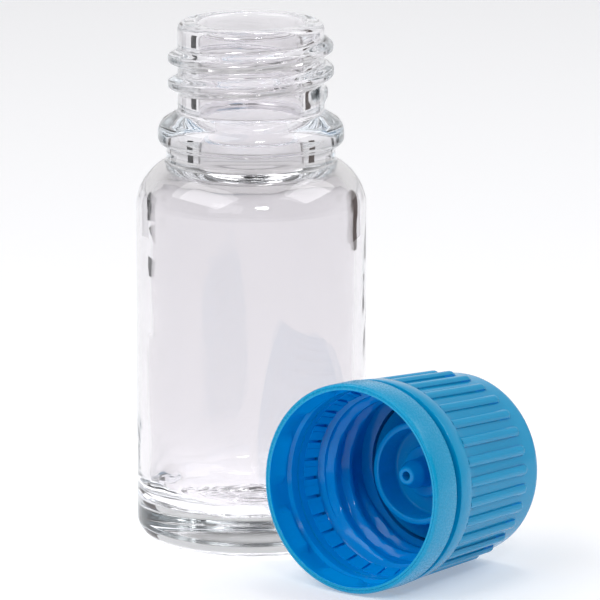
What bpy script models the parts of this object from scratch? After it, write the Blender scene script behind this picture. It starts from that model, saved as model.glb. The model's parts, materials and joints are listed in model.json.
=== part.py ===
"""Small glass dropper vial with its loose tamper-evident screw closure.

The vial stands on the XY plane with its axis on +Z.  The closure lies on its side
beside it, open end towards -Y.  Every closure piece is modelled upright, with its
open end at local z = 0, and then laid down by its parent empty.
All sizes are in metres.
"""
import math

import bmesh
import bpy
from mathutils import Matrix, Vector

MM = 0.001

# ---------------------------------------------------------------- fits
TOUCH_GAP = 0.3 * MM            # left between pieces that touch in the real object
THREAD_CLEARANCE = 0.2 * MM     # radial, glass thread crest to cap thread root
SINK = 0.25 * MM                # how far a raised feature is rooted in its wall

# ---------------------------------------------------------------- glass vial
VIAL_HEIGHT = 57.0 * MM
BODY_RADIUS = 12.5 * MM
WALL = 1.4 * MM
HEEL_RADIUS = 2.4 * MM
STAND_RING_WIDTH = 1.1 * MM     # flat ring that the vial stands on
PUSH_UP = 0.3 * MM              # the base panel is recessed by this
PUSH_UP_SLOPE = 0.9 * MM
FLOOR_THICKNESS = 4.2 * MM
FLOOR_CORNER_RADIUS = 3.5 * MM
SHOULDER_RADIUS = 5.2 * MM
PLAIN_NECK = 1.5 * MM           # top of the shoulder to the bead's ledge
NECK_STAND = 0.18 * MM          # plain neck under the bead, outside the thread crest
NECK_FILLET = 0.5 * MM
BORE_RADIUS = 5.7 * MM
BORE_FLARE_RADIUS = 1.6 * MM
RIM_OUTER_ROUND = 0.9 * MM
RIM_INNER_ROUND = 0.5 * MM
BEAD_STAND = 1.1 * MM           # bead outside the thread crest
BEAD_DROP = 13.4 * MM           # rim to the bead's lower ledge
BEAD_LEDGE_ROUND = 0.7 * MM
BEAD_NOSE_HEIGHT = 0.7 * MM     # straight part of the bead's nose
BEAD_TOP_ROUND = 1.6 * MM
BEAD_TOP_SLOPE = math.radians(32)
THREAD_PITCH = 2.8 * MM
THREAD_RADIUS = 9.0 * MM       # crest
THREAD_DEPTH = 1.05 * MM
THREAD_ROOT_WIDTH = 2.2 * MM
THREAD_CREST_WIDTH = 0.7 * MM
THREAD_TURNS = 2.15
THREAD_DROP = 2.3 * MM          # rim to the upper end of the thread's centre line
THREAD_START = math.radians(-15)

# ---------------------------------------------------------------- tamper ring
RING_HEIGHT = 3.6 * MM
RING_CLEARANCE = 0.4 * MM       # radial, ring bore over the bead
RING_WALL = 0.7 * MM
RING_EDGE_ROUND = 0.4 * MM
WEB_WALL = 0.35 * MM            # thin web at the bottom of the tear groove
WEB_ROOT = 0.5 * MM             # how far the web reaches down inside the ring
TEAR_GROOVE = 1.0 * MM          # height of the groove between ring and cap
BEAD_CLEARANCE = 0.05 * MM      # web bore over the bead
BARB_COUNT = 8
BARB_SPAN = math.radians(31)
BARB_PHASE = math.radians(10)
BARB_BOTTOM = 0.8 * MM
BARB_HEIGHT = 1.3 * MM
BARB_TIP_HEIGHT = 0.45 * MM     # upright part of the barb's edge
BARB_DEPTH = 0.6 * MM
BARB_LEDGE_GAP = 0.2 * MM       # barb ledge to the bead's ledge when the cap is on

# ---------------------------------------------------------------- screw cap
BAND_HEIGHT = 2.15 * MM         # plain band above the groove
BAND_INSET = 0.1 * MM           # band inside the ring's outside
BAND_TAPER = 0.15 * MM
ROOT_INSET = 0.75 * MM          # between the ribs at their open end, inside the ring's outside
ROOT_TAPER = 0.65 * MM          # from there to the cap's top
RIB_COUNT = 30
RIB_RADIUS = 0.58 * MM
RIB_STAND = 0.48 * MM           # how far a rib stands out
RIB_TOP_GAP = 3.4 * MM          # rib ends to the cap's top
CAP_TOP_ROUND = 1.5 * MM
TOP_THICKNESS = 1.5 * MM
LUG_COUNT = 30
LUG_SPAN = math.radians(10.4)
LUG_BOTTOM = 1.0 * MM           # above the cap's lower edge
LUG_HEIGHT = 2.2 * MM
LUG_DEPTH = 0.35 * MM
LUG_WALL = 0.6 * MM             # wall behind the lugs
CAP_THREAD_DEPTH = 0.75 * MM
CAP_THREAD_TURNS = 2.25
CAP_THREAD_START = math.radians(80)
CAP_THREAD_CREST_WIDTH = 0.6 * MM
CAP_THREAD_ROOT_WIDTH = 1.7 * MM
CAP_THREAD_LEAD = 0.6 * MM      # thread zone edge to the thread's centre line
LEAD_IN = 0.35 * MM

# ---------------------------------------------------------------- dropper insert
PLUG_CLEARANCE = 0.1 * MM       # radial, plug sleeve in the glass bore
PLUG_LENGTH = 3.3 * MM
PLUG_WALL = 0.75 * MM
FLANGE_INSET = 0.25 * MM        # flange edge inside the threaded finish
FLANGE_THICKNESS = 0.9 * MM
FLANGE_GAP = 0.35 * MM          # flange edge to the cap
DRIP_TUBE_LENGTH = 5.1 * MM     # below the flange
DRIP_TIP_RADIUS = 0.95 * MM
DRIP_TIP_TAPER = 1.3 * MM
DRIP_TUBE_RADIUS = 1.55 * MM
DRIP_HOLE_RADIUS = 0.45 * MM
HUB_RADIUS = 2.8 * MM
HUB_LENGTH = 1.6 * MM
SPOUT_LENGTH = 3.4 * MM
SPOUT_GAP = 0.6 * MM            # spout to the cap's inner top
SPOUT_BASE_RADIUS = 3.6 * MM
SPOUT_TOP_RADIUS = 2.3 * MM
INSERT_EDGE_BEVEL = 0.25 * MM

# ---------------------------------------------------------------- how the closure lies
LIE_AZIMUTH = math.radians(36)  # cap's top points this far from +Y towards +X
LIE_X = 10.6 * MM               # centre of the open end, seen from above
SIDE_GAP = 0.4 * MM             # closure to vial
FLOOR_GAP = 0.02 * MM

# ---------------------------------------------------------------- mesh fineness
VIAL_SEGMENTS = 40
CAP_SEGMENTS = 60
RING_SEGMENTS = 40
INSERT_SEGMENTS = 28
THREAD_SEGMENTS = 28            # for each turn

# ---------------------------------------------------------------- derived places
FINISH_RADIUS = THREAD_RADIUS - THREAD_DEPTH
NECK_RADIUS = THREAD_RADIUS + NECK_STAND
BEAD_RADIUS = THREAD_RADIUS + BEAD_STAND
BEAD_LEDGE = VIAL_HEIGHT - BEAD_DROP
SHOULDER_TOP = BEAD_LEDGE - PLAIN_NECK
RING_BORE_RADIUS = BEAD_RADIUS + RING_CLEARANCE
RING_RADIUS = RING_BORE_RADIUS + RING_WALL
WEB_BORE_RADIUS = BEAD_RADIUS + BEAD_CLEARANCE
WEB_RADIUS = WEB_BORE_RADIUS + WEB_WALL
CAP_EDGE = RING_HEIGHT + TEAR_GROOVE
BAND_TOP = CAP_EDGE + BAND_HEIGHT
BAND_RADIUS = RING_RADIUS - BAND_INSET
ROOT_RADIUS_LOW = RING_RADIUS - ROOT_INSET
ROOT_RADIUS_TOP = ROOT_RADIUS_LOW - ROOT_TAPER
BARB_LEDGE = BARB_BOTTOM + BARB_HEIGHT
# the rim's place inside the closure when the barbs sit under the bead
RIM_IN_CLOSURE = BARB_LEDGE - BARB_LEDGE_GAP + BEAD_DROP
LUG_WALL_RADIUS = ROOT_RADIUS_LOW - LUG_WALL
CAP_BORE_RADIUS = THREAD_RADIUS + THREAD_CLEARANCE
THREAD_ZONE_START = CAP_EDGE + LUG_BOTTOM + LUG_HEIGHT
THREAD_ZONE_END = RIM_IN_CLOSURE - TOUCH_GAP
PLUG_RADIUS = BORE_RADIUS - PLUG_CLEARANCE
FLANGE_RADIUS = FINISH_RADIUS - FLANGE_INSET
FLANGE_TOP = RIM_IN_CLOSURE + FLANGE_THICKNESS
SPOUT_TOP = FLANGE_TOP + SPOUT_LENGTH
CAP_CEILING = SPOUT_TOP + SPOUT_GAP
CAP_LENGTH = CAP_CEILING + TOP_THICKNESS
RIB_TOP = CAP_LENGTH - RIB_TOP_GAP


def root_radius(height):
    """Outer radius of the cap between its ribs, at a height above the ring's edge."""
    share = (height - BAND_TOP) / (CAP_LENGTH - BAND_TOP)
    return ROOT_RADIUS_LOW + share * (ROOT_RADIUS_TOP - ROOT_RADIUS_LOW)


def arc(centre, radius, start_deg, end_deg, steps):
    """Profile points along an arc in the (radius, height) plane."""
    points = []
    for step in range(steps + 1):
        angle = math.radians(start_deg + (end_deg - start_deg) * step / steps)
        points.append((centre[0] + radius * math.cos(angle), centre[1] + radius * math.sin(angle)))
    return points


def material(name, colour, roughness, transmission=0.0, ior=1.5):
    """A plain Principled material."""
    shader_material = bpy.data.materials.new(name)
    shader_material.use_nodes = True
    shader = shader_material.node_tree.nodes["Principled BSDF"]
    shader.inputs["Base Color"].default_value = (*colour, 1.0)
    shader.inputs["Roughness"].default_value = roughness
    shader.inputs["Metallic"].default_value = 0.0
    shader.inputs["Transmission Weight"].default_value = transmission
    shader.inputs["IOR"].default_value = ior
    return shader_material


def object_from(name, bm):
    """Put a finished bmesh into a new object, its faces pointing outwards."""
    bmesh.ops.recalc_face_normals(bm, faces=bm.faces)
    mesh = bpy.data.meshes.new(name)
    bm.to_mesh(mesh)
    bm.free()
    obj = bpy.data.objects.new(name, mesh)
    bpy.context.scene.collection.objects.link(obj)
    mesh.shade_smooth()
    mesh.set_sharp_from_angle(angle=math.radians(35))
    return obj


def lathe(name, profile, segments):
    """Turn a closed (radius, height) outline about the Z axis into a solid."""
    bm = bmesh.new()
    verts = [bm.verts.new((radius, 0.0, height)) for radius, height in profile]
    edges = [bm.edges.new((a, b)) for a, b in zip(verts, verts[1:] + verts[:1])
             if a.co.x > 0.0 or b.co.x > 0.0]
    bmesh.ops.spin(bm, geom=verts + edges, axis=(0, 0, 1), cent=(0, 0, 0),
                   angle=math.tau, steps=segments, use_merge=True)
    bmesh.ops.remove_doubles(bm, verts=bm.verts, dist=1e-7)
    return object_from(name, bm)


def helix_ridge(name, root, crest, pitch, start_height, start_angle, turns, widths, segments):
    """One thread ridge of trapezoid section whose ends run out into the wall."""
    bm = bmesh.new()
    steps = round(turns * segments)
    fade_steps = segments / 8
    root_width, crest_width = widths
    inward = -1.0 if crest < root else 1.0
    rings = []
    for step in range(steps + 1):
        angle = start_angle + math.tau * step / segments
        height = start_height + pitch * step / segments
        fade = min(1.0, step / fade_steps, (steps - step) / fade_steps)
        tip = root + (crest - root) * fade - inward * SINK * 0.5 * (1.0 - fade)
        base = root - inward * SINK
        section = [(base, -root_width / 2), (tip, -crest_width / 2),
                   (tip, crest_width / 2), (base, root_width / 2)]
        rings.append([bm.verts.new((radius * math.cos(angle), radius * math.sin(angle), height + rise))
                      for radius, rise in section])
    for near, far in zip(rings, rings[1:]):
        for corner in range(4):
            following = (corner + 1) % 4
            bm.faces.new((near[corner], near[following], far[following], far[corner]))
    bm.faces.new(rings[0])
    bm.faces.new(rings[-1][::-1])
    return object_from(name, bm)


def unite(target, helper):
    """Join a helper object's shape to the target with a Boolean."""
    modifier = target.modifiers.new(helper.name, "BOOLEAN")
    modifier.operation = "UNION"
    modifier.solver = "EXACT"
    modifier.object = helper
    helper.hide_render = True
    helper.display_type = "WIRE"


def wedge_row(name, count, span, inner, outer, bottom, top, slope_end=None, phase=0.0):
    """A row of blocks on the inside of a round wall, evenly spaced.

    slope_end, when given, is the height at which a sloping face reaches its full depth.
    """
    bm = bmesh.new()
    facets = 4
    for index in range(count):
        centre = phase + math.tau * index / count
        sections = []
        for facet in range(facets + 1):
            angle = centre + span * (facet / facets - 0.5)
            corners = [(outer, bottom), (inner, slope_end or bottom), (inner, top), (outer, top)]
            sections.append([bm.verts.new((radius * math.cos(angle), radius * math.sin(angle), height))
                             for radius, height in corners])
        for near, far in zip(sections, sections[1:]):
            for corner in range(4):
                following = (corner + 1) % 4
                bm.faces.new((near[corner], near[following], far[following], far[corner]))
        bm.faces.new(sections[0])
        bm.faces.new(sections[-1][::-1])
    return object_from(name, bm)


def vial_profile():
    """Outline of the glass: under the base, up the outside, over the rim, down the inside."""
    heel_edge = BODY_RADIUS - HEEL_RADIUS
    stand_inner = heel_edge - STAND_RING_WIDTH
    panel_edge = stand_inner - PUSH_UP_SLOPE
    shoulder_centre = (BODY_RADIUS - SHOULDER_RADIUS, SHOULDER_TOP - SHOULDER_RADIUS)
    fillet_radius = NECK_RADIUS + NECK_FILLET
    between_centres = SHOULDER_RADIUS + NECK_FILLET
    meeting_angle = math.acos((fillet_radius - shoulder_centre[0]) / between_centres)
    fillet_centre = (fillet_radius, shoulder_centre[1] + between_centres * math.sin(meeting_angle))
    shoulder_end = math.degrees(meeting_angle)
    outline = [(0.0, PUSH_UP), (panel_edge, PUSH_UP), (stand_inner, 0.0)]
    outline += arc((heel_edge, HEEL_RADIUS), HEEL_RADIUS, -90, 0, 4)
    outline += arc(shoulder_centre, SHOULDER_RADIUS, 0, shoulder_end, 5)
    outline += arc(fillet_centre, NECK_FILLET, 180 + shoulder_end, 180, 2)[1:]
    outline += bead_profile()
    rim_outer_centre = (FINISH_RADIUS - RIM_OUTER_ROUND, VIAL_HEIGHT - RIM_OUTER_ROUND)
    rim_inner_centre = (BORE_RADIUS + RIM_INNER_ROUND, VIAL_HEIGHT - RIM_INNER_ROUND)
    outline += arc(rim_outer_centre, RIM_OUTER_ROUND, 0, 90, 3)
    outline += arc(rim_inner_centre, RIM_INNER_ROUND, 90, 180, 2)
    inner_radius = BODY_RADIUS - WALL
    ceiling_radius = SHOULDER_RADIUS - WALL
    flare_centre = (BORE_RADIUS + BORE_FLARE_RADIUS, shoulder_centre[1] + ceiling_radius + BORE_FLARE_RADIUS)
    outline += arc(flare_centre, BORE_FLARE_RADIUS, 180, 270, 3)
    outline += arc(shoulder_centre, ceiling_radius, 90, 0, 4)
    floor_centre = (inner_radius - FLOOR_CORNER_RADIUS, FLOOR_THICKNESS + FLOOR_CORNER_RADIUS)
    outline += arc(floor_centre, FLOOR_CORNER_RADIUS, 0, -90, 4)
    outline.append((0.0, FLOOR_THICKNESS))
    return outline


def bead_profile():
    """The transfer bead: flat ledge below, round nose, sloping top."""
    ledge_centre = (BEAD_RADIUS - BEAD_LEDGE_ROUND, BEAD_LEDGE + BEAD_LEDGE_ROUND)
    nose_centre = (BEAD_RADIUS - BEAD_TOP_ROUND, ledge_centre[1] + BEAD_NOSE_HEIGHT)
    slope_deg = 90 - math.degrees(BEAD_TOP_SLOPE)
    points = [(NECK_RADIUS, BEAD_LEDGE)]
    points += arc(ledge_centre, BEAD_LEDGE_ROUND, -90, 0, 2)
    nose = arc(nose_centre, BEAD_TOP_ROUND, 0, slope_deg, 3)
    points += nose
    slope_run = nose[-1][0] - FINISH_RADIUS
    points.append((FINISH_RADIUS, nose[-1][1] + slope_run * math.tan(BEAD_TOP_SLOPE)))
    return points


def build_vial():
    """The clear glass vial with its two-turn neck thread."""
    vial = lathe("glass_vial", vial_profile(), VIAL_SEGMENTS)
    thread_bottom = VIAL_HEIGHT - THREAD_DROP - THREAD_TURNS * THREAD_PITCH
    ridge = helix_ridge("neck_thread", FINISH_RADIUS, THREAD_RADIUS, THREAD_PITCH, thread_bottom,
                        THREAD_START, THREAD_TURNS, (THREAD_ROOT_WIDTH, THREAD_CREST_WIDTH),
                        THREAD_SEGMENTS)
    unite(vial, ridge)
    vial.data.materials.append(material("clear_glass", (0.93, 0.96, 0.96), 0.02, 1.0, 1.52))
    return vial


def build_ring(parent, plastic):
    """The tamper ring: band, tear web and inward barbs."""
    web_foot = RING_HEIGHT - WEB_ROOT
    web_top = CAP_EDGE - TOUCH_GAP
    outline = arc((RING_RADIUS - RING_EDGE_ROUND, RING_EDGE_ROUND), RING_EDGE_ROUND, -90, 0, 2)
    outline += [(RING_RADIUS, RING_HEIGHT), (WEB_RADIUS, RING_HEIGHT), (WEB_RADIUS, web_top),
                (WEB_BORE_RADIUS, web_top), (WEB_BORE_RADIUS, web_foot + WEB_WALL),
                (RING_BORE_RADIUS, web_foot), (RING_BORE_RADIUS, 0.0)]
    ring = lathe("tamper_ring", outline, RING_SEGMENTS)
    barbs = wedge_row("barbs", BARB_COUNT, BARB_SPAN, RING_BORE_RADIUS - BARB_DEPTH,
                      RING_BORE_RADIUS + SINK, BARB_BOTTOM, BARB_LEDGE,
                      BARB_LEDGE - BARB_TIP_HEIGHT, BARB_PHASE)
    unite(ring, barbs)
    ring.data.materials.append(plastic)
    for obj in (ring, barbs):
        obj.parent = parent
    return ring


def cap_profile():
    """Outline of the cap without ribs, lugs or thread."""
    outline = [(WEB_BORE_RADIUS, CAP_EDGE), (BAND_RADIUS, CAP_EDGE), (BAND_RADIUS - BAND_TAPER, BAND_TOP),
               (ROOT_RADIUS_LOW, BAND_TOP)]
    outline += arc((ROOT_RADIUS_TOP - CAP_TOP_ROUND, CAP_LENGTH - CAP_TOP_ROUND), CAP_TOP_ROUND, 0, 90, 3)
    outline += [(0.0, CAP_LENGTH), (0.0, CAP_CEILING)]
    upper_bore = FLANGE_RADIUS + FLANGE_GAP
    outline += [(upper_bore, CAP_CEILING), (upper_bore, THREAD_ZONE_END + LEAD_IN),
                (CAP_BORE_RADIUS, THREAD_ZONE_END), (CAP_BORE_RADIUS, THREAD_ZONE_START + LEAD_IN),
                (LUG_WALL_RADIUS, THREAD_ZONE_START), (LUG_WALL_RADIUS, CAP_EDGE + LEAD_IN)]
    return outline


def rib_row():
    """Half-round grip ribs that follow the cap's taper, with round ends, one of them on the floor."""
    bm = bmesh.new()
    sides = 8
    for index in range(RIB_COUNT):
        turn = Matrix.Rotation(math.tau * (index + 0.5) / RIB_COUNT, 4, "Z")
        rings = []
        shoulder = RIB_TOP - 0.3 * RIB_RADIUS
        for height, scale in ((BAND_TOP - SINK, 1.0), (RIB_TOP - RIB_RADIUS, 1.0), (shoulder, 0.72)):
            centre = root_radius(height) + RIB_STAND - RIB_RADIUS
            ring = []
            for side in range(sides):
                angle = math.tau * side / sides
                offset = Vector((centre + scale * RIB_RADIUS * math.cos(angle),
                                 scale * RIB_RADIUS * math.sin(angle), height))
                ring.append(bm.verts.new(turn @ offset))
            rings.append(ring)
        for near, far in zip(rings, rings[1:]):
            for side in range(sides):
                following = (side + 1) % sides
                bm.faces.new((near[side], near[following], far[following], far[side]))
        tip = bm.verts.new(turn @ Vector((root_radius(RIB_TOP) - SINK / 5, 0.0, RIB_TOP)))
        for side in range(sides):
            bm.faces.new((rings[-1][side], rings[-1][(side + 1) % sides], tip))
        bm.faces.new(rings[0][::-1])
    return object_from("ribs", bm)


def build_cap(parent, plastic):
    """The ribbed screw cap with its inside thread and the row of bridge lugs."""
    cap = lathe("screw_cap", cap_profile(), CAP_SEGMENTS)
    lug_bottom = CAP_EDGE + LUG_BOTTOM
    lugs = wedge_row("bridge_lugs", LUG_COUNT, LUG_SPAN, LUG_WALL_RADIUS - LUG_DEPTH,
                     LUG_WALL_RADIUS + SINK, lug_bottom, lug_bottom + LUG_HEIGHT + SINK)
    thread = helix_ridge("cap_thread", CAP_BORE_RADIUS, CAP_BORE_RADIUS - CAP_THREAD_DEPTH, THREAD_PITCH,
                         THREAD_ZONE_START + CAP_THREAD_LEAD, CAP_THREAD_START, CAP_THREAD_TURNS,
                         (CAP_THREAD_ROOT_WIDTH, CAP_THREAD_CREST_WIDTH), THREAD_SEGMENTS)
    helpers = [rib_row(), lugs, thread]
    for helper in helpers:
        unite(cap, helper)
        helper.parent = parent
    cap.data.materials.append(plastic)
    cap.parent = parent
    return cap


def build_insert(parent, plastic):
    """The dropper insert: flange, plug sleeve, drip tube and spout."""
    underside = RIM_IN_CLOSURE
    tip = underside - DRIP_TUBE_LENGTH
    hub_end = underside - HUB_LENGTH
    plug_end = underside - PLUG_LENGTH
    bevel = INSERT_EDGE_BEVEL
    outline = [(DRIP_HOLE_RADIUS, tip), (DRIP_TIP_RADIUS - bevel, tip), (DRIP_TIP_RADIUS, tip + bevel),
               (DRIP_TUBE_RADIUS, tip + DRIP_TIP_TAPER), (DRIP_TUBE_RADIUS, hub_end),
               (HUB_RADIUS, hub_end), (HUB_RADIUS, underside),
               (PLUG_RADIUS - PLUG_WALL, underside), (PLUG_RADIUS - PLUG_WALL, plug_end),
               (PLUG_RADIUS - bevel, plug_end), (PLUG_RADIUS, plug_end + bevel),
               (PLUG_RADIUS, underside), (FLANGE_RADIUS, underside), (FLANGE_RADIUS, FLANGE_TOP),
               (SPOUT_BASE_RADIUS, FLANGE_TOP), (SPOUT_TOP_RADIUS, SPOUT_TOP - bevel),
               (SPOUT_TOP_RADIUS - bevel, SPOUT_TOP), (DRIP_HOLE_RADIUS, SPOUT_TOP)]
    insert = lathe("dropper_insert", outline, INSERT_SEGMENTS)
    insert.data.materials.append(plastic)
    insert.parent = parent
    return insert


def lay_closure():
    """The empty on the closure's axis, at the centre of its open end.

    The closure rests on the ring's upper edge and on the rib ends, so it tilts by its taper.
    """
    rib_reach = root_radius(RIB_TOP - RIB_RADIUS) + RIB_STAND
    tilt = math.atan2(RING_RADIUS - rib_reach, RIB_TOP - RIB_RADIUS - RING_HEIGHT)
    height = RING_RADIUS * math.cos(tilt) + RING_HEIGHT * math.sin(tilt) + FLOOR_GAP
    # the closure's side passes the vial's side at SIDE_GAP
    reach = BODY_RADIUS + SIDE_GAP + RING_RADIUS
    y = (LIE_X * math.cos(LIE_AZIMUTH) - reach) / math.sin(LIE_AZIMUTH)
    axis = bpy.data.objects.new("closure_axis", None)
    bpy.context.scene.collection.objects.link(axis)
    axis.location = (LIE_X, y, height)
    axis.rotation_euler = (-math.pi / 2 - tilt, 0.0, -LIE_AZIMUTH)
    return axis


def main():
    """Build the vial and its closure."""
    for obj in list(bpy.data.objects):
        bpy.data.objects.remove(obj)
    build_vial()
    closure_axis = lay_closure()
    plastic_colour = (0.02, 0.36, 0.68)
    build_ring(closure_axis, material("ring_polypropylene", plastic_colour, 0.35))
    build_cap(closure_axis, material("cap_polypropylene", plastic_colour, 0.3))
    build_insert(closure_axis, material("insert_polyethylene", plastic_colour, 0.35))


main()
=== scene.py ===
import json
import math

import bmesh
import bpy
from mathutils import Matrix, Vector, noise


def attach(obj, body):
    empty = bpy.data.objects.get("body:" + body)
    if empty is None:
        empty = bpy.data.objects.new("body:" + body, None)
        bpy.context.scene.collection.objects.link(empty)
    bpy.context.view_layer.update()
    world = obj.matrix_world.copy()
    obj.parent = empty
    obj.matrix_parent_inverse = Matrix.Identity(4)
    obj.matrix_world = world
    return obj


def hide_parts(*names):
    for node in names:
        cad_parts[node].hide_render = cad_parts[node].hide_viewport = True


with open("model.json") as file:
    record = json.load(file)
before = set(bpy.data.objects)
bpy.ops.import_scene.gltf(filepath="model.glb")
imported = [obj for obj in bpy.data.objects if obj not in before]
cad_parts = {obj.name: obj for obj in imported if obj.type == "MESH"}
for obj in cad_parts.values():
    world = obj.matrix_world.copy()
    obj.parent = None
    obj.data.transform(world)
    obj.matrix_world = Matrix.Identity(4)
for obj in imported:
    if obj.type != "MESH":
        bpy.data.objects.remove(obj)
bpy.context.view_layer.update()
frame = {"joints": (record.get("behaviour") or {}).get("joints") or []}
mm = 0.001
fullTurn = math.tau
mergeDistance = 2e-6      # m, points of a section this near become one
flatDistance = 1e-6       # m, a lifted face's wall lower than this closes up
samePoint = 1e-7          # m, points this near are the same point
steepFace = 0.9           # level share of the normal, above which a face counts as wall

# the closure's own frame: z runs along its axis to the closed top, x is level
capTurn = [joint for joint in frame["joints"] if joint["name"] == "cap_turn"][0]
closureMouth = Vector(capTurn["pos_m"])
closureAxis = Vector(capTurn["axis"]).normalized()
levelSide = closureAxis.cross(Vector((0, 0, 1))).normalized()
closurePlace = Matrix((levelSide, closureAxis.cross(levelSide), closureAxis)).transposed().to_4x4()
closurePlace.translation = closureMouth


# helpers that shape the pieces

def drawSection(corners):
    # corners are (radius, height) or (radius, height, rounding, segments) in mm, in order round the wall
    bm = bmesh.new()
    verts = [bm.verts.new((corner[0] * mm, 0, corner[1] * mm)) for corner in corners]
    count = len(corners)
    for index, vert in enumerate(verts):
        bm.edges.new((vert, verts[(index + 1) % count]))
    for index, corner in enumerate(corners):
        if len(corner) < 3:
            continue
        here = Vector(corner[:2])
        back = (Vector(corners[index - 1][:2]) - here).normalized()
        ahead = (Vector(corners[(index + 1) % count][:2]) - here).normalized()
        turn = math.pi - back.angle(ahead)
        reach = corner[2] * math.tan(turn / 2) * mm      # distance from the corner to where its arc starts
        bmesh.ops.bevel(bm, geom=[verts[index]], affect="VERTICES", offset=reach, segments=corner[3],
                        profile=0.5, material=-1, clamp_overlap=False)
    bmesh.ops.remove_doubles(bm, verts=bm.verts, dist=mergeDistance)
    return bm


def cutFiner(bm, spacing, lowest, highest, innermost=0.0, outermost=99.0):
    # adds points along the section's long straight edges between two heights and two radii
    for edge in list(bm.edges):
        middle = (edge.verts[0].co + edge.verts[1].co) / 2 / mm
        cuts = round(edge.calc_length() / mm / spacing) - 1
        if cuts > 0 and lowest <= middle.z <= highest and innermost <= middle.x <= outermost:
            bmesh.ops.subdivide_edges(bm, edges=[edge], cuts=cuts)


def spinSection(bm, steps):
    onAxis = [edge for edge in bm.edges if all(vert.co.x < samePoint for vert in edge.verts)]
    bmesh.ops.delete(bm, geom=onAxis, context="EDGES")
    bmesh.ops.spin(bm, geom=bm.verts[:] + bm.edges[:], axis=(0, 0, 1), cent=(0, 0, 0),
                   angle=fullTurn, steps=steps, use_merge=True)
    bmesh.ops.remove_doubles(bm, verts=bm.verts, dist=samePoint)
    bmesh.ops.recalc_face_normals(bm, faces=bm.faces)


def polar(point):
    # radius in mm, angle in radians from 0 to a full turn, height in mm
    return math.hypot(point.x, point.y) / mm, math.atan2(point.y, point.x) % fullTurn, point.z / mm


def setRadius(vert, radius):
    now = math.hypot(vert.co.x, vert.co.y)
    vert.co.x *= radius * mm / now
    vert.co.y *= radius * mm / now


def smoothStep(value):
    value = min(1.0, max(0.0, value))
    return value * value * (3 - 2 * value)


def helixRise(angle, height, thread):
    # how much of a helical ridge stands at this place, from 0 to 1
    rise = 0.0
    whole = thread["turns"] * fullTurn
    fade = thread["fade"]
    along = (angle - thread["startAngle"]) % fullTurn
    while along <= whole:
        away = abs(height - thread["startHeight"] - thread["pitch"] * along / fullTurn)
        flank = (thread["rootWidth"] - thread["crestWidth"]) / 2
        section = smoothStep((thread["rootWidth"] / 2 - away) / flank)
        runOut = smoothStep(along / fade) * smoothStep((whole - along) / fade)
        rise = max(rise, section * runOut)
        along += fullTurn
    return rise


def fromNearest(angle, pitch, first=0.0):
    # degrees from the middle of the nearest of a row of features, the first of which is at first
    return (math.degrees(angle) - first + pitch / 2) % pitch - pitch / 2


def liftFaces(bm, faces):
    # gives the faces side walls, so that their points, which it returns, can stand out from the rest
    grown = bmesh.ops.extrude_face_region(bm, geom=faces)
    bmesh.ops.delete(bm, geom=faces, context="FACES")
    return [item for item in grown["geom"] if isinstance(item, bmesh.types.BMVert)]


def markPaintedLightInside(bm, widest, highest):
    # the faces of the bore, which don't look outward, take the second finish: the same plastic in a deeper
    # blue, painted light for light that comes through the wall
    outwardShare = 0.3
    for face in bm.faces:
        middle = face.calc_center_median()
        outward = Vector((middle.x, middle.y, 0)).normalized()
        within = middle.xy.length < widest * mm and middle.z < highest * mm
        if within and face.normal.dot(outward) < outwardShare:
            face.material_index = 1


def finishPiece(name, bm, body, node, finish, sharpAngle, place=None, paintedLightInside=None):
    if place is not None:
        bmesh.ops.transform(bm, matrix=place, verts=bm.verts)
    mesh = bpy.data.meshes.new(name)
    bm.to_mesh(mesh)
    bm.free()
    piece = bpy.data.objects.new(name, mesh)
    bpy.context.scene.collection.objects.link(piece)
    mesh.shade_smooth()
    mesh.set_sharp_from_angle(angle=math.radians(sharpAngle))
    mesh.materials.append(finish)
    if paintedLightInside is not None:
        mesh.materials.append(paintedLightInside)
    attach(piece, body)
    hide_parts(node)
    print(name, len(mesh.polygons), "faces")
    return piece


# finishes, each named for the real material

def linearColour(code):
    # an sRGB hex value as a linear colour
    shares = [int(code[place:place + 2], 16) / 255 for place in (1, 3, 5)]
    return tuple(share / 12.92 if share <= 0.04045 else ((share + 0.055) / 1.055) ** 2.4
                 for share in shares) + (1.0,)


def addNode(tree, kind, settings, links=()):
    # settings and links are keyed by a property's name, or by an input's name or number
    node = tree.nodes.new(kind)
    for key, value in settings.items():
        if isinstance(key, str) and key[0].islower():
            setattr(node, key, value)
        else:
            node.inputs[key].default_value = value
    for key, source in dict(links).items():
        tree.links.new(source, node.inputs[key])
    return node


def startMaterial(name):
    finish = bpy.data.materials.new(name)
    finish.use_nodes = True
    finish.node_tree.nodes.clear()
    return finish, finish.node_tree


flintGlass = {
    "ior": 1.52,
    "skin": "#F0EEF0",         # light kept at each surface
    "tint": "#D2DDE0",         # what deep glass lets through of white light
    "tintDepth": 75.0,         # mm
    "waveSize": 5.0,           # mm, slow waves that the mould leaves
    "waveDepth": 0.02,         # mm
    "waveDetail": 1.5, "waveRoughness": 0.4,
}


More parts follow.
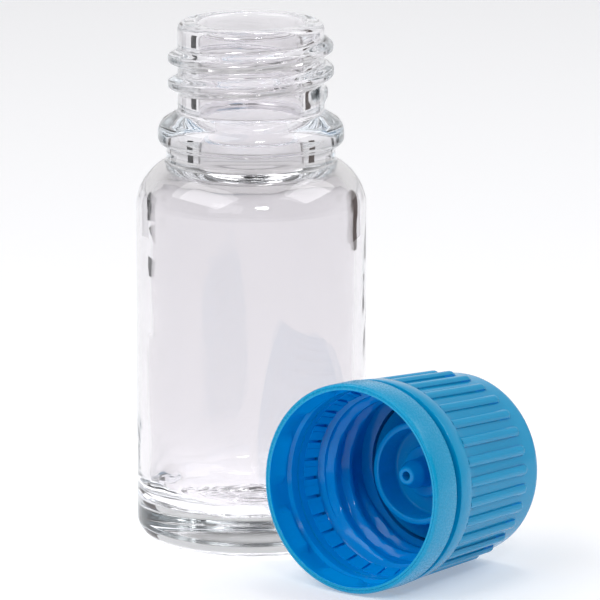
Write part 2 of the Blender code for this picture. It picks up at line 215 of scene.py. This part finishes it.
def makeFlintGlass():
    # soda-lime flint glass, blown in a mould and fire polished: clear, bright lines and dark edges,
    # slow waves, faintly green where it is thick
    finish, tree = startMaterial("flintGlassMoulded")
    place = addNode(tree, "ShaderNodeTexCoord", {})
    waves = addNode(tree, "ShaderNodeTexNoise",
                    {"Scale": 1 / (flintGlass["waveSize"] * mm), "Detail": flintGlass["waveDetail"],
                     "Roughness": flintGlass["waveRoughness"]},
                    {"Vector": place.outputs["Object"]})
    bump = addNode(tree, "ShaderNodeBump", {"Strength": 1.0, "Distance": flintGlass["waveDepth"] * mm},
                   {"Height": waves.outputs["Fac"]})
    shader = addNode(tree, "ShaderNodeBsdfPrincipled",
                     {"Base Color": linearColour(flintGlass["skin"]), "Roughness": 0.0,
                      "IOR": flintGlass["ior"], "Transmission Weight": 1.0},
                     {"Normal": bump.outputs["Normal"]})
    depth = addNode(tree, "ShaderNodeVolumeAbsorption",
                    {"Color": linearColour(flintGlass["tint"]),
                     "Density": 1 / (flintGlass["tintDepth"] * mm)})
    addNode(tree, "ShaderNodeOutputMaterial", {},
            {"Surface": shader.outputs["BSDF"], "Volume": depth.outputs["Volume"]})
    return finish


mouldedSkin = {"cloudDetail": 3.0, "grainDetail": 2.0, "glossier": 0.05, "duller": 0.07}


def makeMouldedPlastic(name, look):
    # an injection-moulded blue plastic: slow clouds in its colour, fine grain in its height and gloss
    finish, tree = startMaterial(name)
    place = addNode(tree, "ShaderNodeTexCoord", {})
    clouds = addNode(tree, "ShaderNodeTexNoise",
                     {"Scale": 1 / (look["cloudSize"] * mm), "Detail": mouldedSkin["cloudDetail"]},
                     {"Vector": place.outputs["Object"]})
    colour = addNode(tree, "ShaderNodeMix",
                     {"data_type": "RGBA", 6: linearColour(look["colour"]),
                      7: linearColour(look["deepColour"])},
                     {0: clouds.outputs["Fac"]})
    grain = addNode(tree, "ShaderNodeTexNoise",
                    {"Scale": 1 / (look["grainSize"] * mm), "Detail": mouldedSkin["grainDetail"]},
                    {"Vector": place.outputs["Object"]})
    gloss = addNode(tree, "ShaderNodeMapRange",
                    {"To Min": look["roughness"] - mouldedSkin["glossier"],
                     "To Max": look["roughness"] + mouldedSkin["duller"]},
                    {"Value": grain.outputs["Fac"]})
    bump = addNode(tree, "ShaderNodeBump", {"Strength": 1.0, "Distance": look["grainDepth"] * mm},
                   {"Height": grain.outputs["Fac"]})
    shader = addNode(tree, "ShaderNodeBsdfPrincipled",
                     {"IOR": look["ior"], "Specular IOR Level": look["shine"]},
                     {"Base Color": colour.outputs[2], "Roughness": gloss.outputs["Result"],
                      "Normal": bump.outputs["Normal"]})
    addNode(tree, "ShaderNodeOutputMaterial", {}, {"Surface": shader.outputs["BSDF"]})
    return finish


# polypropylene from a polished mould: an even blue with soft, narrow highlights; sizes in mm
capLook = {"colour": "#009ACC", "deepColour": "#0090C2", "cloudSize": 9.0, "grainSize": 0.25,
           "grainDepth": 0.002, "roughness": 0.15, "ior": 1.49, "shine": 0.28}
# the same plastic from a finely eroded mould: a satin band with visible grain
ringLook = {"colour": "#009ECE", "deepColour": "#0094C4", "cloudSize": 9.0, "grainSize": 0.22,
            "grainDepth": 0.008, "roughness": 0.26, "ior": 1.49, "shine": 0.34}
# painted light: the bore's faces get a deeper blue copy of the same plastic, painted for light that comes
# through the thin wall and crosses the bore many times
paintedLightInsideLook = {"colour": "#0098E4", "deepColour": "#008EDE", "cloudSize": 7.0, "grainSize": 0.3,
              "grainDepth": 0.002, "roughness": 0.11, "ior": 1.49, "shine": 0.26}
# low-density polyethylene: softer, a little duller, deep inside the cap
insertLook = {"colour": "#00A4E2", "deepColour": "#009ADC", "cloudSize": 6.0, "grainSize": 0.3,
              "grainDepth": 0.003, "roughness": 0.24, "ior": 1.51, "shine": 0.3}

glassFinish = makeFlintGlass()
capFinish = makeMouldedPlastic("polypropyleneSemiGloss", capLook)
ringFinish = makeMouldedPlastic("polypropyleneFineGrain", ringLook)
# the bore's finish: the same plastic with painted light, a deeper blue
paintedLightInsideFinish = makeMouldedPlastic("polypropylenePaintedLightInside", paintedLightInsideLook)
insertFinish = makeMouldedPlastic("polyethyleneSatin", insertLook)
print("materials made")

# the glass vial

# sizes in mm; a rounding is (radius, number of steps); angles in radians
vial = {
    "steps": 256, "sharpAngle": 60,
    "height": 57.0, "bodyRadius": 12.5, "wall": 1.4,
    "standInner": 9.0, "panelEdge": 8.1, "pushUp": 0.3, "floor": 4.2,
    "shoulderCorner": 40.234, "neckFoot": 41.759, "neckRadius": 9.18,
    "beadLedge": 43.6, "beadRadius": 10.1, "beadTop": 45.887, "beadFoot": 47.23,
    "finishRadius": 7.95, "boreRadius": 5.7, "innerShoulder": 40.7, "crestRadius": 9.0,
    "panelRound": (0.5, 4), "standRound": (0.4, 3), "heelRound": (2.4, 10), "shoulderRound": (5.2, 18),
    "neckRound": (0.6, 5), "ledgeRound": (0.2, 3), "beadEdgeRound": (0.7, 7), "beadTopRound": (1.6, 10),
    "finishRound": (0.6, 5), "rimRound": (0.9, 8), "mouthRound": (0.5, 6), "boreRound": (1.59, 8),
    "innerShoulderRound": (3.79, 14), "floorRound": (3.5, 12),
    "thread": {"pitch": 2.8, "turns": 2.15, "startHeight": 48.68, "startAngle": math.radians(-15),
               "rootWidth": 2.2, "crestWidth": 0.5, "fade": math.radians(50)},
    # distance between the points added along straight walls
    "threadSpacing": 0.15, "insideSpacing": 1.0, "floorSpacing": 0.3, "panelSpacing": 1.2,
    "outsideSpacing": 1.6, "near": 0.1, "threadLeadIn": 0.4,
    # slow and quick waves of the inside, in waves for each mm, and how far they move it
    "waveSeed": 7.0, "slowWaves": 0.16, "quickWaves": 0.42, "quickShare": 0.5,
    "wallWave": 0.07, "floorWave": 0.16, "floorReach": 5, "floorLean": 6,
    "rippleDepth": 0.10, "rippleLength": 1.3, "rippleDrift": 1.6, "driftWaves": 0.22,
    "rippleLeast": 0.4, "rippleGain": 1.6,
}


def makeVial():
    v = vial
    near = v["near"]
    inner = v["bodyRadius"] - v["wall"]
    bm = drawSection([
        (0, v["pushUp"]), (v["panelEdge"], v["pushUp"], *v["panelRound"]),
        (v["standInner"], 0, *v["standRound"]), (v["bodyRadius"], 0, *v["heelRound"]),
        (v["bodyRadius"], v["shoulderCorner"], *v["shoulderRound"]),
        (v["neckRadius"], v["neckFoot"], *v["neckRound"]),
        (v["neckRadius"], v["beadLedge"], *v["ledgeRound"]),
        (v["beadRadius"], v["beadLedge"], *v["beadEdgeRound"]),
        (v["beadRadius"], v["beadTop"], *v["beadTopRound"]),
        (v["finishRadius"], v["beadFoot"], *v["finishRound"]),
        (v["finishRadius"], v["height"], *v["rimRound"]), (v["boreRadius"], v["height"], *v["mouthRound"]),
        (v["boreRadius"], v["innerShoulder"], *v["boreRound"]),
        (inner, v["innerShoulder"], *v["innerShoulderRound"]),
        (inner, v["floor"], *v["floorRound"]), (0, v["floor"])])
    cutFiner(bm, v["threadSpacing"], v["beadFoot"], v["height"] - v["rimRound"][0],
             innermost=v["finishRadius"] - near)
    cutFiner(bm, v["insideSpacing"], v["floor"], v["height"], outermost=inner + near)
    cutFiner(bm, v["floorSpacing"], v["floor"] - near, v["floor"] + near, outermost=inner)
    cutFiner(bm, v["panelSpacing"], 0, 1, outermost=v["panelEdge"] + near)
    cutFiner(bm, v["outsideSpacing"], 0, v["beadLedge"], innermost=inner + 1)
    spinSection(bm, v["steps"])
    for vert in bm.verts:
        radius, angle, height = polar(vert.co)
        if height > v["beadFoot"] - v["threadLeadIn"] and v["finishRadius"] - near < radius:
            rise = helixRise(angle, height, v["thread"])
            setRadius(vert, radius + (v["crestRadius"] - v["finishRadius"]) * rise)
        elif v["floor"] - near < height < v["innerShoulder"] and radius < inner + near:
            waveInside(vert, radius, height)
    bmesh.ops.recalc_face_normals(bm, faces=bm.faces)
    piece = finishPiece("vialGlass", bm, "vial", "glass_vial", glassFinish, v["sharpAngle"])
    piece.visible_shadow = False      # clear glass hardly shades what stands behind it
    return piece


def waveInside(vert, radius, height):
    # the inside was only blown against air, so it waves, most of all at the floor
    v = vial
    seed = Vector((v["waveSeed"], 0, 0))
    low = smoothStep((v["floor"] + v["floorReach"] - height) / v["floorReach"])
    depth = v["wallWave"] + (v["floorWave"] - v["wallWave"]) * low
    push = (noise.noise(vert.co / mm * v["slowWaves"] + seed)
            + v["quickShare"] * noise.noise(vert.co / mm * v["quickWaves"] + seed))
    direction = Vector((vert.co.x, vert.co.y, -low * v["floorLean"] * mm))
    vert.co += direction.normalized() * push * depth * mm
    if low > 0:
        # chill marks: broken rings in the floor, which show as fine lines in the thick base
        drift = noise.noise(Vector((vert.co.x, vert.co.y, 0)) / mm * v["driftWaves"] + seed)
        phase = (radius + v["rippleDrift"] * drift) / v["rippleLength"] * fullTurn
        strength = v["rippleLeast"] + v["rippleGain"] * abs(drift)
        vert.co.z += low * v["rippleDepth"] * strength * math.sin(phase) * mm


makeVial()

# the tamper ring

# sizes in mm; the barbs' span, first place and sloping ends in degrees
ring = {
    "steps": 360, "sharpAngle": 38,
    "height": 3.6, "radius": 11.2, "bore": 10.5, "webBore": 10.15, "webRadius": 10.5,
    "webFoot": 3.1, "webSlope": 0.35, "webTop": 4.55,
    "softEdge": (0.1, 3), "endEdge": (0.29, 5), "webEdge": (0.12, 3),
    "endGroove": [(0.27, 0.0), (0.31, 0.06), (0.36, 0.06), (0.4, 0.0)],      # out from the bore, depth
    "barbs": 8, "barbSpan": 31, "barbPhase": 10, "barbBottom": 1.1, "barbTop": 2.2, "barbTip": 0.35,
    "barbDepth": 0.55, "barbEnd": 5.0,
    "near": 0.05, "paintedInsideReach": 0.06, "paintedInsideAbove": 1,
}


def makeRing():
    # a plain band with a thin web on top, a fine groove in its end and a row of sloping barbs inside
    r = ring
    slopeTop = r["barbTop"] - r["barbTip"]
    bm = drawSection(
        [(r["bore"], 0, *r["softEdge"])] + [(r["bore"] + out, deep) for out, deep in r["endGroove"]] + [
            (r["radius"], 0.0, *r["endEdge"]), (r["radius"], r["height"], *r["softEdge"]),
            (r["webRadius"], r["height"], *r["webEdge"]),
            (r["webRadius"], r["webTop"]), (r["webBore"], r["webTop"]),
            (r["webBore"], r["webFoot"] + r["webSlope"], *r["softEdge"]),
            (r["bore"], r["webFoot"], *r["softEdge"]),
            (r["bore"], r["barbTop"]), (r["bore"], slopeTop), (r["bore"], r["barbBottom"])])
    spinSection(bm, r["steps"])
    pitch = 360 / r["barbs"]
    reach = round(r["barbSpan"] / 2)
    barbFaces = []
    for face in bm.faces:
        radius, angle, height = polar(face.calc_center_median())
        onBore = abs(radius - r["bore"]) < r["near"] and r["barbBottom"] < height < r["barbTop"]
        if onBore and abs(fromNearest(angle, pitch, r["barbPhase"])) < reach:
            barbFaces.append(face)
    for vert in liftFaces(bm, barbFaces):
        radius, angle, height = polar(vert.co)
        slope = (height - r["barbBottom"]) / (slopeTop - r["barbBottom"])
        end = (reach - abs(fromNearest(angle, pitch, r["barbPhase"]))) / r["barbEnd"]
        setRadius(vert, r["bore"] - r["barbDepth"] * min(1.0, slope, end))
    bmesh.ops.remove_doubles(bm, verts=bm.verts, dist=flatDistance)
    bmesh.ops.recalc_face_normals(bm, faces=bm.faces)
    # the bore's faces take the finish with painted light
    markPaintedLightInside(bm, r["bore"] + r["paintedInsideReach"], r["webTop"] + r["paintedInsideAbove"])
    return finishPiece("ringBand", bm, "tamper_ring", "tamper_ring", ringFinish,
                       r["sharpAngle"], place=closurePlace, paintedLightInside=paintedLightInsideFinish)


makeRing()

# the screw cap

# sizes in mm; the grip ribs' half angle and the lugs' pads in degrees
cap = {
    "steps": 360, "sharpAngle": 38,
    "edge": 4.6, "edgeBore": 10.15, "edgeInset": 0.02, "bandRadius": 11.1, "bandTaper": 0.15,
    "bandTop": 6.75, "rootLow": 10.45, "rootTop": 9.8, "length": 21.7, "ceiling": 20.2,
    "upperBore": 8.05, "bore": 9.2, "lugWall": 9.85,
    "softEdge": (0.1, 3), "topRound": (1.5, 12), "ceilingRound": (0.3, 4), "lugWallRound": (0.15, 3),
    "threadStart": 7.8, "threadEnd": 15.0, "threadDepth": 0.75, "threadReach": 0.7, "threadWidest": 9.5,
    "upperSlope": 0.35, "lowerSlope": 0.3, "lugTopDraft": 0.07, "lugBottomDraft": 0.22,
    "ribs": 30, "ribStart": 0.12, "ribTop": 18.3, "ribEnd": 0.7, "ribStand": 0.48, "ribEdge": 0.02,
    "ribHalfWidth": 0.58, "ribHalfAngle": 3.1,
    "lugs": 30, "lugBottom": 5.6, "lugTop": 7.15, "lugFoot": 0.16, "lugHead": 9.45, "lugTilt": 0.06,
    "lugReach": 0.5, "lugPads": [(-5.0, 0.6), (1.4, 5.0)],      # first and last angle from the lug's middle
    "thread": {"pitch": 2.8, "turns": 2.25, "startHeight": 8.4, "startAngle": math.radians(80),
               "rootWidth": 1.5, "crestWidth": 0.5, "fade": math.radians(40)},
    # distance between the points added along straight walls
    "threadSpacing": 0.15, "ribEndSpacing": 0.1, "ribEndReach": 0.5, "wallSpacing": 1.5,
    "near": 0.1, "ribReach": 0.2, "boreReach": 0.3,
}


def rootAt(height):
    # radius of the cap's wall between its ribs
    share = (height - cap["bandTop"]) / (cap["length"] - cap["bandTop"])
    return cap["rootLow"] + share * (cap["rootTop"] - cap["rootLow"])


def makeCap():
    # a plain band at the edge, a ribbed wall, a smooth rounded top, and a thread and lugs inside
    c = cap
    ribEndFoot = c["ribTop"] - c["ribEnd"]
    bm = drawSection([
        (c["edgeBore"] - c["edgeInset"], c["edge"]), (c["bandRadius"], c["edge"], *c["softEdge"]),
        (c["bandRadius"] - c["bandTaper"], c["bandTop"], *c["softEdge"]),
        (c["rootLow"], c["bandTop"], *c["softEdge"]),
        (rootAt(ribEndFoot), ribEndFoot), (rootAt(c["ribTop"]), c["ribTop"]),
        (c["rootTop"], c["length"], *c["topRound"]), (0, c["length"]), (0, c["ceiling"]),
        (c["upperBore"], c["ceiling"], *c["ceilingRound"]),
        (c["upperBore"], c["threadEnd"] + c["upperSlope"]),
        (c["bore"], c["threadEnd"]), (c["bore"], c["threadStart"] + c["lowerSlope"]),
        (c["lugWall"], c["threadStart"], *c["lugWallRound"]),
        (c["lugWall"] + c["lugTopDraft"], c["lugTop"]),
        (c["lugWall"] + c["lugBottomDraft"], c["lugBottom"])])
    outside = c["rootTop"] - c["near"]
    cutFiner(bm, c["threadSpacing"], c["threadStart"], c["threadEnd"], outermost=c["bore"] + c["boreReach"])
    cutFiner(bm, c["ribEndSpacing"], c["ribTop"] - c["ribEndReach"], c["ribTop"], innermost=outside)
    cutFiner(bm, c["wallSpacing"], c["bandTop"], c["length"], innermost=outside)
    spinSection(bm, c["steps"])
    for vert in bm.verts:
        radius, angle, height = polar(vert.co)
        onBore = abs(radius - c["bore"]) < c["threadReach"] and radius < c["threadWidest"]
        if onBore and c["threadStart"] < height < c["threadEnd"]:
            setRadius(vert, radius - c["threadDepth"] * helixRise(angle, height, c["thread"]))
    growRibs(bm)
    growLugs(bm)
    bmesh.ops.recalc_face_normals(bm, faces=bm.faces)
    # the bore's faces take the finish with painted light
    markPaintedLightInside(bm, c["edgeBore"], c["ceiling"] + c["near"])
    return finishPiece("capShell", bm, "screw_cap", "screw_cap", capFinish,
                       c["sharpAngle"], place=closurePlace, paintedLightInside=paintedLightInsideFinish)


def growRibs(bm):
    # half-round grip ribs, each lifted from the wall and rounded over its width and at its top end
    c = cap
    pitch = 360 / c["ribs"]
    ribFaces = []
    for face in bm.faces:
        radius, angle, height = polar(face.calc_center_median())
        onWall = radius > c["rootTop"] - c["ribReach"] and face.normal.xy.length > steepFace
        if onWall and c["bandTop"] + c["ribStart"] < height < c["ribTop"]:
            if abs(fromNearest(angle, pitch, pitch / 2)) < c["ribHalfAngle"]:
                ribFaces.append(face)
    ribVerts = liftFaces(bm, ribFaces)
    top = max(vert.co.z for vert in ribVerts) / mm
    for vert in ribVerts:
        radius, angle, height = polar(vert.co)
        offset = fromNearest(angle, pitch, pitch / 2)
        across = abs(math.radians(offset)) * radius / c["ribHalfWidth"]
        endward = max(0.0, (height - top + c["ribHalfWidth"]) / c["ribHalfWidth"])
        rise = math.sqrt(max(0.0, 1 - min(1.0, across) ** 2 - min(1.0, endward) ** 2))
        setRadius(vert, radius + c["ribEdge"] + (c["ribStand"] - c["ribEdge"]) * rise)


def growLugs(bm):
    # the low pads inside the skirt that the tear bridges spring from, each split by a thin groove
    c = cap
    pitch = 360 / c["lugs"]
    foot = c["lugWall"] + c["lugFoot"]
    for first, last in c["lugPads"]:
        padFaces = []
        for face in bm.faces:
            radius, angle, height = polar(face.calc_center_median())
            onWall = c["bore"] + c["lugReach"] < radius < c["edgeBore"] and face.normal.xy.length > steepFace
            if onWall and c["lugBottom"] < height < c["lugTop"]:
                if first < fromNearest(angle, pitch) < last:
                    padFaces.append(face)
        for vert in liftFaces(bm, padFaces):
            radius, angle, height = polar(vert.co)
            lean = (fromNearest(angle, pitch) - first) / (last - first) - 0.5
            upward = (height - c["lugBottom"]) / (c["lugTop"] - c["lugBottom"])
            setRadius(vert, foot + (c["lugHead"] - foot) * upward - c["lugTilt"] * lean)


makeCap()

# the dropper insert

# sizes in mm
insert = {
    "steps": 128, "sharpAngle": 38,
    "underside": 15.3, "tip": 10.2, "tipRadius": 0.95, "tubeRadius": 1.55, "tubeTop": 11.5,
    "holeRadius": 0.45, "hubRadius": 2.8, "hubEnd": 13.7, "plugRadius": 5.6, "plugWall": 0.75,
    "plugEnd": 12.0, "flangeRadius": 7.7, "flangeTop": 16.2, "spoutBase": 3.6, "spoutTip": 2.3,
    "spoutTop": 19.6,
    "holeEdge": (0.12, 4), "tipRound": (0.3, 6), "tubeRound": (0.8, 6), "hubRound": (0.25, 4),
    "fillet": (0.3, 4), "sleeveEdge": (0.15, 4), "plugLead": (0.3, 5), "plugRoot": (0.1, 2),
    "flangeEdge": (0.12, 3), "spoutRound": (0.25, 4), "spoutHoleEdge": (0.1, 3),
}


def makeInsert():
    # plug sleeve with a hub and drip tube inside, a flange, and the spout on the cap's side
    i = insert
    sleeveBore = i["plugRadius"] - i["plugWall"]
    bm = drawSection([
        (i["holeRadius"], i["tip"], *i["holeEdge"]), (i["tipRadius"], i["tip"], *i["tipRound"]),
        (i["tubeRadius"], i["tubeTop"], *i["tubeRound"]), (i["tubeRadius"], i["hubEnd"], *i["hubRound"]),
        (i["hubRadius"], i["hubEnd"], *i["hubRound"]), (i["hubRadius"], i["underside"], *i["fillet"]),
        (sleeveBore, i["underside"], *i["fillet"]), (sleeveBore, i["plugEnd"], *i["sleeveEdge"]),
        (i["plugRadius"], i["plugEnd"], *i["plugLead"]),
        (i["plugRadius"], i["underside"], *i["plugRoot"]),
        (i["flangeRadius"], i["underside"], *i["flangeEdge"]),
        (i["flangeRadius"], i["flangeTop"], *i["flangeEdge"]),
        (i["spoutBase"], i["flangeTop"], *i["fillet"]), (i["spoutTip"], i["spoutTop"], *i["spoutRound"]),
        (i["holeRadius"], i["spoutTop"], *i["spoutHoleEdge"])])
    spinSection(bm, i["steps"])
    return finishPiece("insertPlug", bm, "dropper_insert", "dropper_insert",
                       insertFinish, i["sharpAngle"], place=closurePlace)


makeInsert()

# floor, light and camera

studio = {
    "floorSize": 6.0, "floorColour": "#DEDEE0", "floorRoughness": 0.8, "floorShine": 0.1, "floorGlow": 0.42,
    # brightness of the sky, which turns from front to back and from low to high between these places
    "skyBehind": 0.80, "skyOverhead": 0.25, "skyFront": 0.05,
    "skyTurn": 0.6, "skyLow": 0.25, "skyHigh": 0.75,
    # name, place in m, width and height in m, watts, seen in reflections
    "softboxes": [
        ("softboxLeft", (-0.43, -0.18, 0.56), (0.78, 0.42), 2.7, True),
        ("softboxRight", (0.47, 0.01, 0.56), (0.62, 0.36), 1.9, True),
        ("softboxTop", (0.12, 0.20, 0.80), (0.26, 0.12), 1.0, True),
        ("softboxFront", (0.13, -0.57, 0.43), (0.13, 0.07), 0.8, True),
        ("fillFront", (-0.35, -0.60, 0.40), (0.50, 0.40), 1.2, False)],
    "lightTarget": (0, 0, 0.03),
    # dark cards behind the vial: middle from straight behind and width in degrees, low and high edge
    # in m, shade
    "flags": [(-51, 17, 0.001, 0.055, "#242426"), (51, 17, 0.001, 0.055, "#3A2A22")],
    "flagReach": 0.17, "flagSteps": 12,
    # metres, radians; the target and the lens in mm
    "cameraDistance": 0.700, "cameraPitch": math.radians(11.94), "target": (5.3, 0, 26.2), "lens": 385.6,
    "sensorWidth": 36.0, "farthest": 20.0,
    "bounces": 24,
}


def stagePiece(name, bm, finish):
    mesh = bpy.data.meshes.new(name)
    bm.to_mesh(mesh)
    bm.free()
    piece = bpy.data.objects.new(name, mesh)
    bpy.context.scene.collection.objects.link(piece)
    mesh.materials.append(finish)
    return piece


def makeFloor():
    bm = bmesh.new()
    bmesh.ops.create_grid(bm, x_segments=2, y_segments=2, size=studio["floorSize"] / 2)
    finish, tree = startMaterial("paleStudioFloor")
    colour = linearColour(studio["floorColour"])
    shader = addNode(tree, "ShaderNodeBsdfPrincipled",
                     {"Base Color": colour, "Roughness": studio["floorRoughness"],
                      "Specular IOR Level": studio["floorShine"],
                      "Emission Color": colour, "Emission Strength": studio["floorGlow"]})
    addNode(tree, "ShaderNodeOutputMaterial", {}, {"Surface": shader.outputs["BSDF"]})
    stagePiece("floor", bm, finish)


def makeFlags():
    # dark cards that only the glass sees: they give clear glass its dark lines
    for number, (middle, width, low, high, shade) in enumerate(studio["flags"]):
        finish, tree = startMaterial("darkFlagCard" + str(number))
        shader = addNode(tree, "ShaderNodeEmission", {"Color": linearColour(shade), "Strength": 1.0})
        addNode(tree, "ShaderNodeOutputMaterial", {}, {"Surface": shader.outputs["Emission"]})
        bm = bmesh.new()
        first = math.radians(90 - middle - width / 2)
        foot = Vector((math.cos(first), math.sin(first), 0)) * studio["flagReach"]
        ends = [bm.verts.new(foot + Vector((0, 0, height))) for height in (low, high)]
        edge = bm.edges.new(ends)
        bmesh.ops.spin(bm, geom=ends + [edge], axis=(0, 0, 1), cent=(0, 0, 0),
                       angle=math.radians(width), steps=studio["flagSteps"])
        card = stagePiece("flag" + str(number), bm, finish)
        card.visible_camera = False
        card.visible_diffuse = False
        card.visible_shadow = False


def makeLight():
    world = bpy.data.worlds.new("softStudio")
    bpy.context.scene.world = world
    world.use_nodes = True
    tree = world.node_tree
    tree.nodes.clear()
    place = addNode(tree, "ShaderNodeTexCoord", {})
    parts = addNode(tree, "ShaderNodeSeparateXYZ", {}, {"Vector": place.outputs["Generated"]})
    shade = addNode(tree, "ShaderNodeMapRange",
                    {"From Min": -studio["skyTurn"], "From Max": studio["skyTurn"],
                     "To Min": studio["skyFront"], "To Max": studio["skyBehind"],
                     "interpolation_type": "SMOOTHSTEP"},
                    {"Value": parts.outputs["Y"]})
    ceiling = addNode(tree, "ShaderNodeMapRange",
                      {"From Min": studio["skyLow"], "From Max": studio["skyHigh"],
                       "To Min": 1.0, "To Max": studio["skyOverhead"],
                       "interpolation_type": "SMOOTHSTEP"},
                      {"Value": parts.outputs["Z"]})
    strength = addNode(tree, "ShaderNodeMath", {"operation": "MULTIPLY"},
                       {0: shade.outputs["Result"], 1: ceiling.outputs["Result"]})
    sky = addNode(tree, "ShaderNodeBackground", {"Color": (1, 1, 1, 1)},
                  {"Strength": strength.outputs["Value"]})
    addNode(tree, "ShaderNodeOutputWorld", {}, {"Surface": sky.outputs["Background"]})
    for name, place, size, power, seen in studio["softboxes"]:
        light = bpy.data.lights.new(name, "AREA")
        light.shape = "RECTANGLE"
        light.size, light.size_y = size
        light.energy = power
        lamp = bpy.data.objects.new(name, light)
        lamp.location = place
        towards = Vector(studio["lightTarget"]) - Vector(place)
        lamp.rotation_euler = towards.to_track_quat("-Z", "Y").to_euler()
        lamp.visible_glossy = seen
        bpy.context.scene.collection.objects.link(lamp)


def makeCamera():
    data = bpy.data.cameras.new("viewer")
    data.lens = studio["lens"]
    data.sensor_width = studio["sensorWidth"]
    data.clip_end = studio["farthest"]
    camera = bpy.data.objects.new("viewer", data)
    back = Vector((0, -math.cos(studio["cameraPitch"]), math.sin(studio["cameraPitch"])))
    camera.location = Vector(studio["target"]) * mm + back * studio["cameraDistance"]
    camera.rotation_euler = (-back).to_track_quat("-Z", "Y").to_euler()
    bpy.context.scene.collection.objects.link(camera)
    bpy.context.scene.camera = camera
    bpy.context.scene.view_settings.view_transform = "Standard"


makeFloor()
makeFlags()
makeLight()
makeCamera()
print("studio made")

# a ray may turn many times inside clear glass before it comes out
bpy.context.scene.cycles.max_bounces = studio["bounces"]
bpy.context.scene.cycles.glossy_bounces = studio["bounces"]
bpy.context.scene.cycles.transmission_bounces = studio["bounces"]
